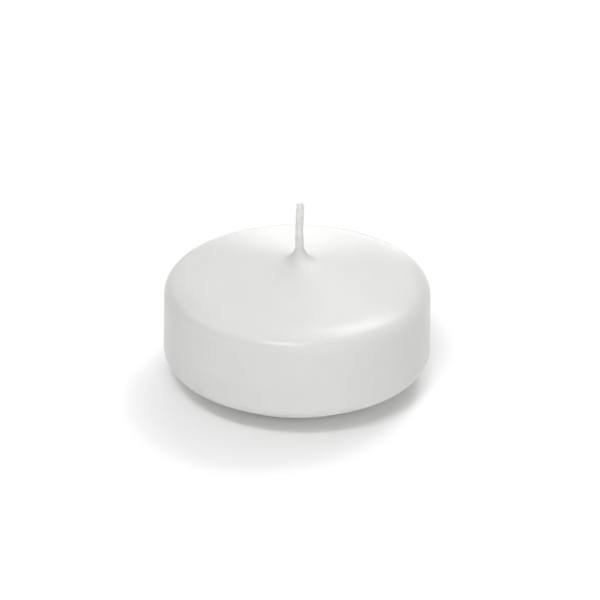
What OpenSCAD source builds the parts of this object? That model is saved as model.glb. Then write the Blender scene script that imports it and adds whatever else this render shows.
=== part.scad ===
// Floating candle: a round moulded wax float with a tapered foot and a shallow crown,
// a plaited wick that stands in a collar of wax, and the steel tab that holds the wick below.
// Lengths are in millimetres and angles in degrees.
// The candle stands on the flat of its base at z = 0, with its axis along Z.

/* [Wax float] */
// Diameter at the widest line
body_d = 76; // [60:1:110]
// Diameter of the flat base, before its edge is rounded
base_d = 50; // [36:1:62]
// Slope of the tapered foot
foot_slope = 33; // [22:0.5:45]
// Height of the top edge, before it is rounded
rim_h = 31; // [26:0.1:42]
// Lean of the side wall towards the top
side_draft = 2; // [0:0.1:5]
// Slope of the crown, which is a cone
crown_slope = 10.2; // [4:0.2:14]
// Radius that rounds the outer edge of the crown
crown_edge_r = 18; // [10:1:26]
// Slope at which the edge of the crown passes into the shoulder
shoulder_slope = 25; // [18:1:36]
// Radius of the shoulder, between the side and the edge of the crown
shoulder_r = 4.2; // [2:0.1:7]
// Radius of the knuckle, where the foot turns up into the side
knuckle_r = 3.8; // [1:0.1:7]
// Radius of the heel, round the flat base
heel_r = 1.2; // [0.4:0.1:4]

/* [Wax collar] */
// Diameter of the collar where it stands on the crown
collar_d = 6.6; // [4.6:0.1:9]
// Height of the collar up the wick
collar_h = 3.3; // [1.5:0.1:6]
// Radius of the collar's hollow flank
collar_hollow = 6; // [4:0.5:30]
// Thickness of the wax at the collar's upper end
collar_lip = 0.15; // [0.1:0.05:0.5]

/* [Wick] */
// Diameter of the waxed wick
wick_d = 2.2; // [1.8:0.05:2.6]
// Height of the wick above the apex of the crown
wick_out = 16.5; // [10:0.1:30]
// Diameter of one strand of the plait
strand_d = 1.25; // [1:0.05:1.5]
// Length in which a strand comes back to the same side
plait_pitch = 5; // [3:0.1:9]
// Diameter to which wax fills the grooves of the plait
fill_d = 1.7; // [1.4:0.05:2]

/* [Wick tab] */
// Diameter of the tab's disc
tab_d = 15; // [11:0.5:24]
// Thickness of the steel
tab_t = 0.3; // [0.2:0.05:0.5]
// Height of the neck, from the underside of the disc
neck_h = 4; // [3:0.1:8]
// Bore of the neck, away from the crimp
neck_bore = 2.9; // [2.7:0.05:3.5]
// Height of the crimp that grips the wick, below the mouth of the neck
crimp_drop = 1.1; // [0.8:0.05:1.5]
// Height over which the crimp draws in
crimp_h = 1.2; // [0.8:0.05:1.5]
// Radius of the bend from the disc to the neck
bend_r = 0.5; // [0.3:0.05:1]

/* [Fits] */
// Gap round the wick, in the wax and in the crimp
wick_gap = 0.05; // [0.02:0.01:0.15]
// Gap between the tab and the wax
tab_gap = 0.1; // [0.05:0.05:0.3]
// Height of the tab's underside above the base
tab_lift = 0.5; // [0.2:0.1:1.5]

/* [Hidden] */
$fn = 96;
// Largest turn between two points of an arc
arc_step = 6;
// Sides of a section of the plait, and length between two sections
plait_sides = 20;
plait_step = 0.3;
strands = 3;
// How far a cut runs past the face that it opens
past = 0.1;

// Directions square to the foot, to the top of the shoulder and to the crown
foot_normal = foot_slope - 90;
shoulder_normal = 90 - shoulder_slope;
crown_normal = 90 - crown_slope;

// Where foot and side would meet, so that the rounded knuckle reaches the widest line
knuckle_span = side_draft - foot_normal;
corner_r = body_d / 2 - knuckle_r
    + knuckle_r * (cos(foot_normal) + cos(side_draft)) / (1 + cos(knuckle_span));
foot_h = (corner_r - base_d / 2) * tan(foot_slope);
rim_r = corner_r - (rim_h - foot_h) * tan(side_draft);

// Height of the crown's apex, which the collar hides
crown_apex = rim_h + rim_r * tan(crown_slope);

// Collar: foot on the crown, upper end at the wick
collar_foot = [collar_d / 2, crown_apex - collar_d / 2 * tan(crown_slope)];
wick_hole_d = wick_d + 2 * wick_gap;
collar_top = collar_foot.y + collar_h;
collar_end = [wick_hole_d / 2 + collar_lip, collar_top];

// Wick: the plait keeps inside the bore, and each strand swings about the axis
wick_top = crown_apex + wick_out;
plait_d = wick_d - 2 * wick_gap;
swing = (plait_d - strand_d) / 2;
plait_root = collar_top - plait_step / 2;
plait_rings = ceil((wick_top - plait_root) / plait_step);

// Tab: walls of the neck, and the pocket in the wax that takes it
neck_in = neck_bore / 2;
neck_out = neck_in + tab_t;
crimp_in = wick_d / 2 + wick_gap;
crimp_out = crimp_in + tab_t;
neck_top = tab_lift + neck_h;
crimp_z = neck_top - crimp_drop;
seat_z = tab_lift + tab_t;
bend_centre = [neck_out + bend_r, seat_z + bend_r];

// Direction at an angle
function heading(angle) = [cos(angle), sin(angle)];

// Points along an arc
function arc(centre, r, from, to) =
    let (steps = max(1, ceil(abs(to - from) / arc_step)))
    [for (i = [0 : steps]) centre + r * heading(from + (to - from) * i / steps)];

// Point inside a corner between two lines, whose outward directions are given, at a depth under each
function inside(corner, from, to, from_depth, to_depth) =
    let (c = cos(to - from))
    corner - ((from_depth - c * to_depth) * heading(from) + (to_depth - c * from_depth) * heading(to))
        / (1 - c * c);

// Arc that rounds a corner between two lines
function rounded(corner, r, from, to) = arc(inside(corner, from, to, r, r), r, from, to);

// Two arcs that round a corner: one radius as far as a direction, and a larger one after it
function eased(corner, r, wide_r, from, mid, to) =
    let (
        centre = inside(corner, from, to, r, wide_r - (wide_r - r) * cos(to - mid)),
        wide = arc(centre - (wide_r - r) * heading(mid), wide_r, mid, to)
    )
    concat(arc(centre, r, from, mid), [for (i = [1 : len(wide) - 1]) wide[i]]);

// Arc from one point to another, hollow on its right
function hollow(start, end, r) =
    let (
        half = (end - start) / 2,
        side = [half.y, -half.x] / norm(half),
        centre = start + half + side * sqrt(pow(r, 2) - half * half),
        first = start - centre,
        last = end - centre
    )
    arc(centre, r, atan2(first.y, first.x) % 360, atan2(last.y, last.x) % 360);

// Middle of one strand of the plait, at a turn of the pattern
function strand_middle(turn) = swing * [sin(turn), sin(2 * turn) / 2];

// Distance from the axis to the far side of a strand, or nothing where the heading misses it
function strand_reach(middle, way) =
    let (rest = pow(strand_d / 2, 2) - pow(cross(middle, way), 2))
    rest < 0 ? 0 : middle * way + sqrt(rest);

// Distance from the axis to the surface of the plait
function plait_reach(z, way) =
    max([
        fill_d / 2,
        for (i = [0 : strands - 1])
            strand_reach(strand_middle(360 * (z / plait_pitch + i / strands)), way)
    ]);

module wax_body() {
    outline = concat(
        [[0, 0]],
        rounded([base_d / 2, 0], heel_r, -90, foot_normal),
        rounded([corner_r, foot_h], knuckle_r, foot_normal, side_draft),
        eased([rim_r, rim_h], shoulder_r, crown_edge_r, side_draft, shoulder_normal, crown_normal),
        hollow(collar_foot, collar_end, collar_hollow),
        [[0, collar_top]]
    );
    color("whitesmoke")
        difference() {
            rotate_extrude() polygon(outline);
            translate([0, 0, -past]) cylinder(h = collar_top + 2 * past, d = wick_hole_d);
            tab_pocket();
        }
}

// Room for the tab in the wax: disc, bend and neck
module tab_pocket() {
    mouth_r = bend_centre.x + tab_gap;
    pocket_r = neck_out + tab_gap;
    translate([0, 0, -past]) cylinder(h = seat_z + past, d = tab_d + 2 * tab_gap);
    rotate_extrude()
        polygon([
            [0, seat_z - past],
            [mouth_r, seat_z - past],
            [mouth_r, seat_z],
            [pocket_r, bend_centre.y + tab_gap],
            [pocket_r, neck_top + tab_gap],
            [0, neck_top + tab_gap]
        ]);
}

module wick() {
    color("ivory") {
        translate([0, 0, tab_lift]) cylinder(h = collar_top - tab_lift, d = wick_d);
        plait();
    }
}

// The plaited length that stands out of the collar
module plait() {
    rings = [for (k = [0 : plait_rings])
        let (z = k == plait_rings ? wick_top : plait_root + k * plait_step)
        [for (j = [0 : plait_sides - 1])
            let (way = heading(360 * j / plait_sides), r = plait_reach(z, way))
            [r * way.x, r * way.y, z]]];
    sides = [for (k = [0 : plait_rings - 1], j = [0 : plait_sides - 1])
        let (a = k * plait_sides, b = a + plait_sides, next = (j + 1) % plait_sides)
        each [[a + j, b + j, b + next], [a + j, b + next, a + next]]];
    last = plait_rings * plait_sides;
    polyhedron(
        points = [for (ring = rings) each ring],
        faces = concat(
            sides,
            [[for (j = [0 : plait_sides - 1]) j]],
            [[for (j = [plait_sides - 1 : -1 : 0]) last + j]]
        )
    );
}

module wick_tab() {
    outline = concat(
        [[tab_d / 2, tab_lift], [tab_d / 2, seat_z]],
        arc(bend_centre, bend_r, 270, 180),
        [
            [neck_out, crimp_z - crimp_h / 2],
            [crimp_out, crimp_z],
            [neck_out, crimp_z + crimp_h / 2],
            [neck_out, neck_top],
            [neck_in, neck_top],
            [neck_in, crimp_z + crimp_h / 2],
            [crimp_in, crimp_z],
            [neck_in, crimp_z - crimp_h / 2]
        ],
        arc(bend_centre, bend_r + tab_t, 180, 270)
    );
    color("silver") rotate_extrude() polygon(outline);
}

wax_body();
wick();
wick_tab();
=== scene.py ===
"""Looks of a round white floating candle: its wax float, waxed plaited wick, wick tab and studio."""

import math

import bmesh
import bpy
from mathutils import Matrix, Vector


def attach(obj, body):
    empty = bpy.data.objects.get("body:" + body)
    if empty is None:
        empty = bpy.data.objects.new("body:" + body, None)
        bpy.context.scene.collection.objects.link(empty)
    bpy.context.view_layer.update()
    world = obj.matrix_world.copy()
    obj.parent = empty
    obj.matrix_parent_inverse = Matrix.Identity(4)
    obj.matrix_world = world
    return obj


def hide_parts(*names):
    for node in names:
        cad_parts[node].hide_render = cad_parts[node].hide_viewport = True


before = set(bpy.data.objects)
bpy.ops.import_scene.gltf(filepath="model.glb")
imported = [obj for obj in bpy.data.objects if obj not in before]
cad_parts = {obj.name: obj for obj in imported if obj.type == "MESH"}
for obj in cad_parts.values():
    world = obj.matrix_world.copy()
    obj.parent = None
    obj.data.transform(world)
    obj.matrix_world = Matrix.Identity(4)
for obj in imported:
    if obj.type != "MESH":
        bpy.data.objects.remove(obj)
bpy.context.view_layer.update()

# Pieces are drawn in millimetres and degrees, and end in metres
MM = 0.001

# Wax float, in the sizes of its solid
BODY_D = 76.0
BASE_D = 50.0
FOOT_SLOPE = 33.0
RIM_H = 31.0
SIDE_DRAFT = 2.0
CROWN_SLOPE = 10.2
CROWN_EDGE_R = 18.0
SHOULDER_SLOPE = 25.0
SHOULDER_R = 4.2
KNUCKLE_R = 3.8
HEEL_R = 1.2

# Wax collar: its foot on the crown, its hollow flank, its thin upper end, and its run on into the plait
COLLAR_D = 6.6
COLLAR_H = 3.3
COLLAR_HOLLOW = 5.0
COLLAR_LIP = 0.15
COLLAR_RUN = 0.8
# Diameter at which the skin of the collar eases into the crown, further out than on the solid
COLLAR_SKIRT_D = 10.5
# Share of the wick's way sideways that the wax goes too, at a distance from the axis
COLLAR_PULL = [(4, 1), (14, 0)]

# Wick: three strands, plaited, each of six yarns that are twisted together
WICK_D = 2.2
WICK_OUT = 16.5
WICK_GAP = 0.05
STRAND_D = 1.25
STRANDS = 3
YARNS = 6
YARN_D = 0.46
YARN_SIDES = 8
YARN_STEP = 0.2
# Length in which a strand comes back to its side, and in which a yarn goes once round its strand
PLAIT_PITCH = 5.0
YARN_TWIST = 3.2
# Wax that fills the plait
FILL_D = 1.9
FILL_SIDES = 24
# Cut end of the wick: a flattened ball of wax, with its middle below the top
TIP_R = 0.95
TIP_DEPTH = 0.76
TIP_FLATNESS = 0.75
# Stem: the round wick inside the wax; plait and stem end at these depths below the top of the collar
PLAIT_SUNK = 1.0
STEM_SUNK = 0.8
STEM_SIDES = 48
STEM_STEP = 1.0
# Place of the wick beside the axis, and its girth as a share of its size, each at a height
WICK_ROUTE = [
    (22, 0), (36.5, 0.55), (39.5, 0.5), (41, 0.46), (45, 0.39),
    (49, 0.46), (51.2, 0.5), (52.7, 0.64), (54.2, 0.5),
]
WICK_GIRTH = [(40.4, 1.18), (43.5, 1.22), (45.5, 1.09), (49, 1.16), (51.2, 1.15), (53, 1.06), (54.2, 1.05)]

# Wick tab, whose pocket in the wax follows from its sizes
TAB_D = 15.0
TAB_T = 0.3
TAB_LIFT = 0.5
TAB_GAP = 0.1
NECK_H = 4.0
NECK_BORE = 2.9
BEND_R = 0.5

# Fineness: turn between points of an arc, length between points of a line, sections round the float
ARC_STEP = 4.0
LINE_STEP = 1.2
FLOAT_SECTIONS = 192
# Points that lie closer than this become one
MERGE = 1e-4
# Turn between two faces from which their edge is sharp
CREASE = 16.0
# Wax that runs over the yarns: fineness of its skin, and how much and how often it is smoothed
MELT_VOXEL = 0.06
MELT_SMOOTHING = 0.5
MELT_ROUNDS = 4


def heading(angle):
    """Direction at an angle, in the plane of a profile."""
    return Vector((math.cos(math.radians(angle)), 0, math.sin(math.radians(angle))))


def tangent(angle):
    """Rise over run of a slope."""
    return math.tan(math.radians(angle))


def way_out(start, end, start_depth, end_depth):
    """Way to a corner between two lines, whose outward directions are given, from a depth under each."""
    turn = math.cos(math.radians(end - start))
    start_part = (start_depth - turn * end_depth) * heading(start)
    end_part = (end_depth - turn * start_depth) * heading(end)
    return (start_part + end_part) / (1 - turn * turn)


def eased(stops, at):
    """Value at a place, eased between the listed stops."""
    if at <= stops[0][0]:
        return stops[0][1]
    for (start, low), (end, high) in zip(stops, stops[1:]):
        if at <= end:
            share = (at - start) / (end - start)
            return low + (high - low) * share * share * (3 - 2 * share)
    return stops[-1][1]


# Outward directions of its faces, and places on the candle that follow from its sizes
BASE_NORMAL = -90
FOOT_NORMAL = FOOT_SLOPE - 90
SHOULDER_NORMAL = 90 - SHOULDER_SLOPE
CROWN_NORMAL = 90 - CROWN_SLOPE
CORNER_R = BODY_D / 2 - KNUCKLE_R + way_out(FOOT_NORMAL, SIDE_DRAFT, KNUCKLE_R, KNUCKLE_R).x
FOOT_H = (CORNER_R - BASE_D / 2) * tangent(FOOT_SLOPE)
RIM_R = CORNER_R - (RIM_H - FOOT_H) * tangent(SIDE_DRAFT)
CROWN_APEX = RIM_H + RIM_R * tangent(CROWN_SLOPE)
COLLAR_FOOT = Vector((COLLAR_D / 2, 0, CROWN_APEX - COLLAR_D / 2 * tangent(CROWN_SLOPE)))
COLLAR_TOP = COLLAR_FOOT.z + COLLAR_H
COLLAR_SKIRT = Vector((COLLAR_SKIRT_D / 2, 0, CROWN_APEX - COLLAR_SKIRT_D / 2 * tangent(CROWN_SLOPE)))
COLLAR_END = Vector((WICK_D / 2 + WICK_GAP + COLLAR_LIP, 0, COLLAR_TOP))
WICK_TOP = CROWN_APEX + WICK_OUT
SEAT_Z = TAB_LIFT + TAB_T
POCKET_TOP = TAB_LIFT + NECK_H + TAB_GAP
POCKET_R = NECK_BORE / 2 + TAB_T + TAB_GAP
STRAND_SWING = (WICK_D - 2 * WICK_GAP - STRAND_D) / 2
YARN_SWING = (STRAND_D - YARN_D) / 2


class Profile:
    """A profile in the XZ plane, drawn point by point."""

    def __init__(self, start):
        self.bm = bmesh.new()
        self.first = bmesh.ops.create_vert(self.bm, co=start)["vert"][0]
        self.tip = self.first

    def line(self, end):
        """Straight line to a point."""
        way = Vector(end) - self.tip.co
        steps = max(1, math.ceil(way.length / LINE_STEP))
        for _ in range(steps):
            made = bmesh.ops.extrude_vert_indiv(self.bm, verts=[self.tip])
            bmesh.ops.translate(self.bm, verts=made["verts"], vec=way / steps)
            self.tip = made["verts"][0]

    def arc(self, centre, turn):
        """Arc round a centre, from the last point."""
        steps = max(1, math.ceil(abs(turn) / ARC_STEP))
        made = bmesh.ops.spin(
            self.bm, geom=[self.tip], cent=centre, axis=(0, -1, 0), angle=math.radians(turn), steps=steps
        )
        self.tip = next(part for part in made["geom_last"] if isinstance(part, bmesh.types.BMVert))

    def rounded(self, corner, radius, start, end):
        """Line to a corner and an arc that rounds it, between two outward directions."""
        centre = Vector(corner) - way_out(start, end, radius, radius)
        self.line(centre + radius * heading(start))
        self.arc(centre, end - start)

    def rounded_wide(self, corner, radius, wide, start, middle, end):
        """The same with two arcs, the second of them wide."""
        growth = wide - radius
        depth = wide - growth * math.cos(math.radians(end - middle))
        centre = Vector(corner) - way_out(start, end, radius, depth)
        self.line(centre + radius * heading(start))
        self.arc(centre, middle - start)
        self.arc(centre - growth * heading(middle), end - middle)

    def hollow(self, end, radius):
        """Arc to a point, hollow on its right."""
        half = (Vector(end) - self.tip.co) / 2
        side = Vector((half.z, 0, -half.x)).normalized()
        centre = self.tip.co + half + side * math.sqrt(radius**2 - half.length_squared)
        self.arc(centre, -math.degrees((self.tip.co - centre).angle(Vector(end) - centre)))

    def skip(self, start):
        """Starts again at another point."""
        self.tip = bmesh.ops.create_vert(self.bm, co=start)["vert"][0]

    def close(self):
        """Line back to the first point."""
        self.line(self.first.co)
        bmesh.ops.remove_doubles(self.bm, verts=self.bm.verts, dist=MERGE)


def finished(bm, name):
    """Makes a smooth object, in metres, from a shape drawn in millimetres."""
    bmesh.ops.recalc_face_normals(bm, faces=bm.faces)
    bmesh.ops.scale(bm, vec=(MM, MM, MM), verts=bm.verts)
    mesh = bpy.data.meshes.new(name)
    bm.to_mesh(mesh)
    bm.free()
    mesh.shade_smooth()
    piece = bpy.data.objects.new(name, mesh)
    bpy.context.scene.collection.objects.link(piece)
    return piece


def float_profile():
    """Outside of the float up to the wick, which its wax holds all the way, and the pocket of the tab."""
    pocket_mouth = TAB_D / 2 + TAB_GAP
    bend_r = BEND_R + TAB_GAP
    profile = Profile((pocket_mouth, 0, 0))
    profile.rounded((BASE_D / 2, 0, 0), HEEL_R, BASE_NORMAL, FOOT_NORMAL)
    profile.rounded((CORNER_R, 0, FOOT_H), KNUCKLE_R, FOOT_NORMAL, SIDE_DRAFT)
    rim = (RIM_R, 0, RIM_H)
    profile.rounded_wide(rim, SHOULDER_R, CROWN_EDGE_R, SIDE_DRAFT, SHOULDER_NORMAL, CROWN_NORMAL)
    profile.line(COLLAR_SKIRT)
    profile.hollow(COLLAR_END, COLLAR_HOLLOW)
    profile.line((WICK_D / 2 - COLLAR_LIP, 0, COLLAR_TOP + COLLAR_RUN))
    profile.line((0, 0, COLLAR_TOP + COLLAR_RUN))
    profile.skip((0, 0, POCKET_TOP))
    profile.line((POCKET_R, 0, POCKET_TOP))
    profile.line((POCKET_R, 0, SEAT_Z + bend_r))
    profile.line((POCKET_R + bend_r, 0, SEAT_Z))
    profile.line((pocket_mouth, 0, SEAT_Z))
    profile.close()
    return profile.bm


def make_float():
    """The moulded wax, whose collar leans with the wick."""
    bm = float_profile()
    bmesh.ops.spin(
        bm, geom=bm.verts[:] + bm.edges[:], cent=(0, 0, 0), axis=(0, 0, 1),
        angle=math.tau, steps=FLOAT_SECTIONS, use_merge=True,
    )
    bmesh.ops.remove_doubles(bm, verts=bm.verts, dist=MERGE)
    for vert in bm.verts:
        vert.co.x += eased(WICK_ROUTE, vert.co.z) * eased(COLLAR_PULL, vert.co.xy.length)
    piece = finished(bm, "wax_float")
    piece.data.set_sharp_from_angle(angle=math.radians(CREASE))
    return piece


def upright(bm, radius, low, high, sides, step):
    """Adds a closed upright round with a ring of points at each step, and gives its points."""
    before = len(bm.verts)
    made = bmesh.ops.create_cone(
        bm, cap_ends=True, segments=sides, radius1=radius, radius2=radius, depth=high - low,
        matrix=Matrix.Translation((0, 0, (low + high) / 2)),
    )
    edges = {edge for vert in made["verts"] for edge in vert.link_edges}
    standing = [edge for edge in edges if abs(edge.verts[0].co.z - edge.verts[1].co.z) > step]
    bmesh.ops.subdivide_edges(bm, edges=standing, cuts=round((high - low) / step))
    bm.verts.ensure_lookup_table()
    return bm.verts[before:]


def strand_middle(turn):
    """Middle of one strand of the plait, at a turn of the pattern."""
    return Vector((math.sin(turn), math.sin(2 * turn) / 2, 0)) * STRAND_SWING


def plait(low, high):
    """The plaited yarns and the wax that fills them, from one height to another."""
    bm = bmesh.new()
    for strand in range(STRANDS):
        for yarn in range(YARNS):
            for vert in upright(bm, YARN_D / 2, low, high, YARN_SIDES, YARN_STEP):
                turn = math.tau * (vert.co.z / PLAIT_PITCH + strand / STRANDS)
                twist = math.tau * (vert.co.z / YARN_TWIST + yarn / YARNS)
                vert.co += strand_middle(turn) + YARN_SWING * Vector((math.cos(twist), math.sin(twist), 0))
    upright(bm, FILL_D / 2, low, high - TIP_R / 2, FILL_SIDES, YARN_STEP)
    tip = Matrix.Translation((0, 0, high - TIP_DEPTH)) @ Matrix.Diagonal((1, 1, TIP_FLATNESS, 1))
    bmesh.ops.create_icosphere(bm, subdivisions=4, radius=TIP_R, matrix=tip)
    return bm


def melted(bm):
    """Joins the closed shapes of a mesh into one skin and lets wax run into its grooves."""
    mesh = bpy.data.meshes.new("melted")
    bm.to_mesh(mesh)
    bm.free()
    holder = bpy.data.objects.new("melted", mesh)
    bpy.context.scene.collection.objects.link(holder)
    skin = holder.modifiers.new("skin", "REMESH")
    skin.mode = "VOXEL"
    skin.voxel_size = MELT_VOXEL
    run = holder.modifiers.new("run", "SMOOTH")
    run.factor = MELT_SMOOTHING
    run.iterations = MELT_ROUNDS
    joined = bmesh.new()
    joined.from_object(holder, bpy.context.evaluated_depsgraph_get())
    bpy.data.objects.remove(holder)
    bpy.data.meshes.remove(mesh)
    return joined


def make_wick():
    """The plait that stands out of the wax and the stem inside it, bent as one."""
    bm = melted(plait(COLLAR_TOP - PLAIT_SUNK, WICK_TOP))
    for vert in bm.verts:
        girth = eased(WICK_GIRTH, vert.co.z)
        vert.co.xy *= girth
    upright(bm, WICK_D / 2 - WICK_GAP, TAB_LIFT, COLLAR_TOP - STEM_SUNK, STEM_SIDES, STEM_STEP)
    for vert in bm.verts:
        vert.co.x += eased(WICK_ROUTE, vert.co.z)
    return finished(bm, "plaited_wick")


# Finishes: the two tones of each, and its roughness at a noise of 0 and of 1
WAX_TONES = ((0.71, 0.71, 0.695), (0.735, 0.735, 0.72))
WAX_ROUGHNESS = [(0, 0.27), (1, 0.32)]
WICK_TONES = ((0.77, 0.77, 0.75), (0.83, 0.83, 0.815))
WICK_ROUGHNESS = [(0, 0.35), (1, 0.6)]
TAB_TONES = ((0.56, 0.56, 0.55), (0.66, 0.66, 0.645))
TAB_ROUGHNESS = [(0, 0.28), (1, 0.45)]
# Values of the noise at which a colour has its first and its second tone
TONE_STOPS = (0.3, 0.7)
# Roughness that the wax gains at a distance from the axis, in metres, where it was drawn up the wick
WAX_DULLNESS = [(0.003, 0.2), (0.007, 0)]
# Refraction of paraffin wax
WAX_IOR = 1.44


def feed(tree, made, **inputs):
    """Gives a node its inputs, which are named as its sockets, with underscores for spaces."""
    for name, value in inputs.items():
        socket = made.inputs[name.replace("_", " ")]
        if isinstance(value, bpy.types.NodeSocket):
            tree.links.new(value, socket)
        else:
            socket.default_value = value


def node(tree, kind, settings=None, **inputs):
    """Adds a node with its settings and its inputs."""
    made = tree.nodes.new(kind)
    for name, value in (settings or {}).items():
        setattr(made, name, value)
    feed(tree, made, **inputs)
    return made


def new_material(name):
    """Starts a material, and gives it with its nodes, its shader and the place on the piece."""
    material = bpy.data.materials.new(name)
    material.use_nodes = True
    tree = material.node_tree
    place = node(tree, "ShaderNodeTexCoord").outputs["Object"]
    return material, tree, tree.nodes["Principled BSDF"], place


def stretched(tree, place, scale):
    """A place with each of its coordinates scaled."""
    return node(tree, "ShaderNodeMapping", Vector=place, Scale=scale).outputs["Vector"]


def distance(tree, place):
    """Distance of a place from the origin."""
    return node(tree, "ShaderNodeVectorMath", {"operation": "LENGTH"}, Vector=place).outputs["Value"]


def grain(tree, place, scale, detail):
    """Noise at a scale per metre."""
    return node(tree, "ShaderNodeTexNoise", Vector=place, Scale=scale, Detail=detail).outputs["Fac"]


def maths(tree, operation, first, second):
    """Result of an operation on two values."""
    made = node(tree, "ShaderNodeMath", {"operation": operation})
    tree.links.new(first, made.inputs[0])
    tree.links.new(second, made.inputs[1])
    return made.outputs["Value"]


def ramped(tree, value, stops):
    """Carries a value to another between two stops, and holds it outside them."""
    (start, low), (end, high) = stops
    return node(
        tree, "ShaderNodeMapRange", Value=value, From_Min=start, From_Max=end, To_Min=low, To_Max=high
    ).outputs["Result"]


def tinted(tree, factor, tones):
    """Blends two colours by a noise."""
    ramp = node(tree, "ShaderNodeValToRGB", Fac=factor)
    for stop, position, tone in zip(ramp.color_ramp.elements, TONE_STOPS, tones):
        stop.position = position
        stop.color = (*tone, 1)
    return ramp.outputs["Color"]


def bumped(tree, height, strength, depth, **under):
    """Direction of a surface with the bumps of a noise, whose depth is in metres."""
    bump = node(tree, "ShaderNodeBump", Height=height, Strength=strength, Distance=depth, **under)
    return bump.outputs["Normal"]


def wax_material():
    """Satin wax: light goes a little way in, and the surface is clouded, mottled and faintly rippled."""
    material, tree, shader, place = new_material("moulded_wax")
    cloud = grain(tree, place, scale=70, detail=3)
    mottle = grain(tree, place, scale=900, detail=4)
    ripple = grain(tree, place, scale=110, detail=2)
    reach = distance(tree, stretched(tree, place, scale=(1, 1, 0)))
    dullness = ramped(tree, reach, WAX_DULLNESS)
    fine = bumped(tree, mottle, strength=0.25, depth=0.00002)
    feed(
        tree, shader,
        Base_Color=tinted(tree, cloud, WAX_TONES),
        Roughness=maths(tree, "ADD", ramped(tree, cloud, WAX_ROUGHNESS), dullness),
        IOR=WAX_IOR,
        Subsurface_Weight=0.8,
        Subsurface_Radius=(1.0, 0.93, 0.86),
        Subsurface_Scale=0.001,
        Normal=bumped(tree, ripple, strength=0.2, depth=0.0003, Normal=fine),
    )
    return material


def wick_material():
    """Cotton soaked with wax: fibres run along it, and the wax lies smeared over them."""
    material, tree, shader, place = new_material("waxed_cotton")
    fibre = grain(tree, stretched(tree, place, scale=(1, 1, 0.15)), scale=9000, detail=3)
    smear = grain(tree, place, scale=700, detail=3)
    feed(
        tree, shader,
        Base_Color=tinted(tree, smear, WICK_TONES),
        Roughness=ramped(tree, smear, WICK_ROUGHNESS),
        IOR=WAX_IOR,
        Subsurface_Weight=0.5,
        Subsurface_Radius=(1.0, 0.9, 0.8),
        Subsurface_Scale=0.0006,
        Normal=bumped(tree, fibre, strength=0.3, depth=0.00003),
    )
    return material


def tab_material():
    """Thin tinned steel, with a soft bloom and fine scuffs."""
    material, tree, shader, place = new_material("tinned_steel")
    bloom = grain(tree, place, scale=500, detail=4)
    scuff = grain(tree, place, scale=3500, detail=2)
    feed(
        tree, shader,
        Base_Color=tinted(tree, bloom, TAB_TONES),
        Metallic=1,
        Roughness=ramped(tree, bloom, TAB_ROUGHNESS),
        Normal=bumped(tree, scuff, strength=0.2, depth=0.00001),
    )
    return material


# Studio, in metres and watts: a white floor, soft boxes that face the candle, and faint light all round
WHITE = (1, 1, 1, 1)
FLOOR_HALF = 8.0
FLOOR_COLOUR = (0.95, 0.95, 0.95, 1)
# Glow of the floor at a distance from the candle, for rays that see it
FLOOR_GLOW = [(0.07, 0.062), (1.5, 1)]
AMBIENT = 0.05
# Brightness of the background at the height of a direction above the horizon, for rays that see it
BACKGROUND = [(0.02, 1), (0.12, 0.4)]
# Distance of every lamp from the point that it faces, and the height of that point
LAMP_FAR = 1.4
LAMP_AIM_Z = BODY_D / 4 * MM
# Directions to the lamps: azimuth 0 is at the right of the candle and 90 behind it
LAMPS = {
    "key": {"azimuth": 56, "elevation": 60, "size": (1.3, 1.0), "power": 3.85},
    "key_middle": {"azimuth": 58, "elevation": 57, "size": (0.5, 0.4), "power": 2.6},
    "key_core": {"azimuth": 53, "elevation": 58, "size": (0.22, 0.2), "power": 1.15},
    "front": {"azimuth": 252, "elevation": 56, "size": (0.45, 0.2), "power": 5.15},
    "front_wide": {"azimuth": 255, "elevation": 54, "size": (0.9, 0.5), "power": 2.3},
    "front_middle": {"azimuth": 270, "elevation": 28, "size": (0.9, 0.5), "power": 2.8},
    "front_low": {"azimuth": 285, "elevation": 10, "size": (1.6, 0.35), "power": 3.3},
    "top": {"azimuth": 0, "elevation": 89, "size": (1.6, 1.6), "power": 5.2},
    "left": {"azimuth": 170, "elevation": 48, "size": (1.0, 0.5), "power": 1.15},
    "back": {"azimuth": 88, "elevation": 16, "size": (0.7, 0.25), "power": 0.35},
    "back_high": {"azimuth": 90, "elevation": 33, "size": (0.6, 0.3), "power": 1.0},
    "back_low": {"azimuth": 86, "elevation": 5, "size": (0.55, 0.16), "power": 0.99},
    "rim_left": {"azimuth": 112, "elevation": 20, "size": (0.35, 0.15), "power": 0.25},
    "right_low": {"azimuth": 335, "elevation": 18, "size": (0.9, 0.4), "power": 0.3},
    "rim_right": {"azimuth": 67, "elevation": 28, "size": (0.3, 0.2), "power": 0.3},
}


def background_rays(tree):
    """One for rays that see the background, straight or in a reflection, and zero for light."""
    path = node(tree, "ShaderNodeLightPath").outputs
    either = maths(tree, "MAXIMUM", path["Is Camera Ray"], path["Is Glossy Ray"])
    return maths(tree, "MAXIMUM", either, path["Is Transmission Ray"])


def make_floor():
    """The floor, which glows less near the candle, so that the shadow there stays."""
    bm = bmesh.new()
    bmesh.ops.create_grid(bm, x_segments=1, y_segments=1, size=FLOOR_HALF / MM)
    floor = finished(bm, "floor")
    material, tree, shader, place = new_material("white_table")
    glow = ramped(tree, distance(tree, place), FLOOR_GLOW)
    feed(
        tree, shader,
        Base_Color=FLOOR_COLOUR,
        Roughness=0.9,
        Specular_IOR_Level=0,
        Emission_Color=WHITE,
        Emission_Strength=maths(tree, "MULTIPLY", background_rays(tree), glow),
    )
    floor.data.materials.append(material)


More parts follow.
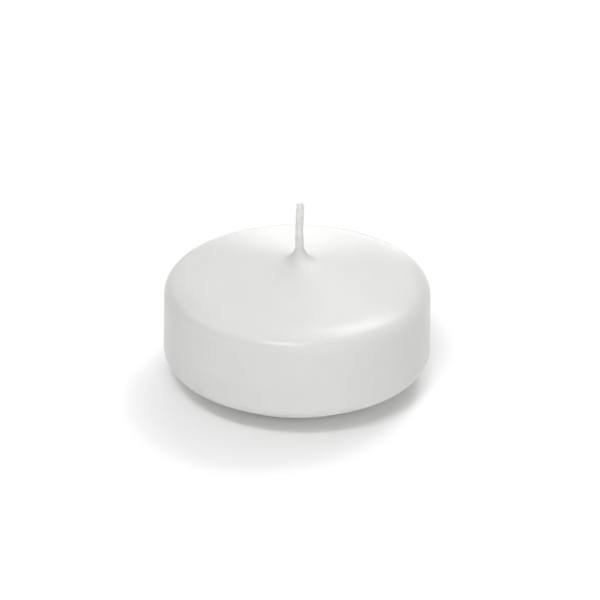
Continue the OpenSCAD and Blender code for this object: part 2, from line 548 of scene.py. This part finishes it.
def make_world():
    """Faint light from all round, and the pale background that is seen behind the floor."""
    world = bpy.data.worlds.new("studio")
    world.use_nodes = True
    bpy.context.scene.world = world
    tree = world.node_tree
    way = node(tree, "ShaderNodeTexCoord").outputs["Generated"]
    height = node(tree, "ShaderNodeSeparateXYZ", Vector=way).outputs["Z"]
    seen = ramped(tree, height, BACKGROUND)
    strength = ramped(tree, background_rays(tree), [(0, AMBIENT), (1, seen)])
    feed(tree, tree.nodes["Background"], Color=WHITE, Strength=strength)


def make_lamp(name, azimuth, elevation, size, power):
    """Adds a soft box that faces the candle."""
    light = bpy.data.lights.new(name, "AREA")
    light.shape = "RECTANGLE"
    light.size, light.size_y = size
    light.energy = power
    lamp = bpy.data.objects.new(name, light)
    bpy.context.scene.collection.objects.link(lamp)
    across = math.cos(math.radians(elevation))
    way = Vector((
        math.cos(math.radians(azimuth)) * across,
        math.sin(math.radians(azimuth)) * across,
        math.sin(math.radians(elevation)),
    ))
    place = Vector((0, 0, LAMP_AIM_Z)) + way * LAMP_FAR
    lamp.matrix_world = Matrix.Translation(place) @ way.to_track_quat("Z", "Y").to_matrix().to_4x4()
    lamp.visible_camera = False


# Camera, which looks down at a point of the axis: its distance in millimetres, its elevation and its roll
CAMERA_FAR = 571.0
CAMERA_ELEVATION = 28.9
ROLL = 0.51
# Height of that point, and where it lies in a picture of this size
TARGET_Z = 11.43
TARGET_X_PX = 297.0
TARGET_Y_PX = 339.1
PICTURE_PX = 600.0
# Focal length in pixels, width of the sensor in millimetres, and how near and far it sees, in metres
FOCAL_PX = 2000.0
SENSOR = 36.0
CLIP_START = 0.01
CLIP_END = 20.0


def make_camera():
    """The camera at the photograph's viewing angle."""
    camera = bpy.data.objects.new("camera", bpy.data.cameras.new("camera"))
    bpy.context.scene.collection.objects.link(camera)
    camera.data.sensor_width = SENSOR
    camera.data.lens = SENSOR * FOCAL_PX / PICTURE_PX
    camera.data.clip_start = CLIP_START
    camera.data.clip_end = CLIP_END
    tilt = math.atan((TARGET_Y_PX - PICTURE_PX / 2) / FOCAL_PX)
    pan = math.atan((PICTURE_PX / 2 - TARGET_X_PX) / FOCAL_PX)
    elevation = math.radians(CAMERA_ELEVATION)
    back = Vector((0, -math.cos(elevation), math.sin(elevation)))
    place = (Vector((0, 0, TARGET_Z)) + back * CAMERA_FAR) * MM
    aim = (
        Matrix.Rotation(math.pi / 2 - elevation, 4, "X")
        @ Matrix.Rotation(math.radians(ROLL), 4, "Z")
        @ Matrix.Rotation(tilt, 4, "X")
        @ Matrix.Rotation(-pan, 4, "Y")
    )
    camera.matrix_world = Matrix.Translation(place) @ aim
    bpy.context.scene.camera = camera


def dress(piece, stands_for, material):
    """Puts a piece in the frame and gives it its material."""
    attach(piece, "root")
    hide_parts(stands_for)
    piece.data.materials.append(material)


dress(make_float(), "wax_body", wax_material())
dress(make_wick(), "wick", wick_material())
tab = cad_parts["wick_tab"]
tab.material_slots[0].material = tab_material()

make_floor()
make_world()
for name, lamp in LAMPS.items():
    make_lamp(name, **lamp)
make_camera()
bpy.context.scene.view_settings.view_transform = "Standard"
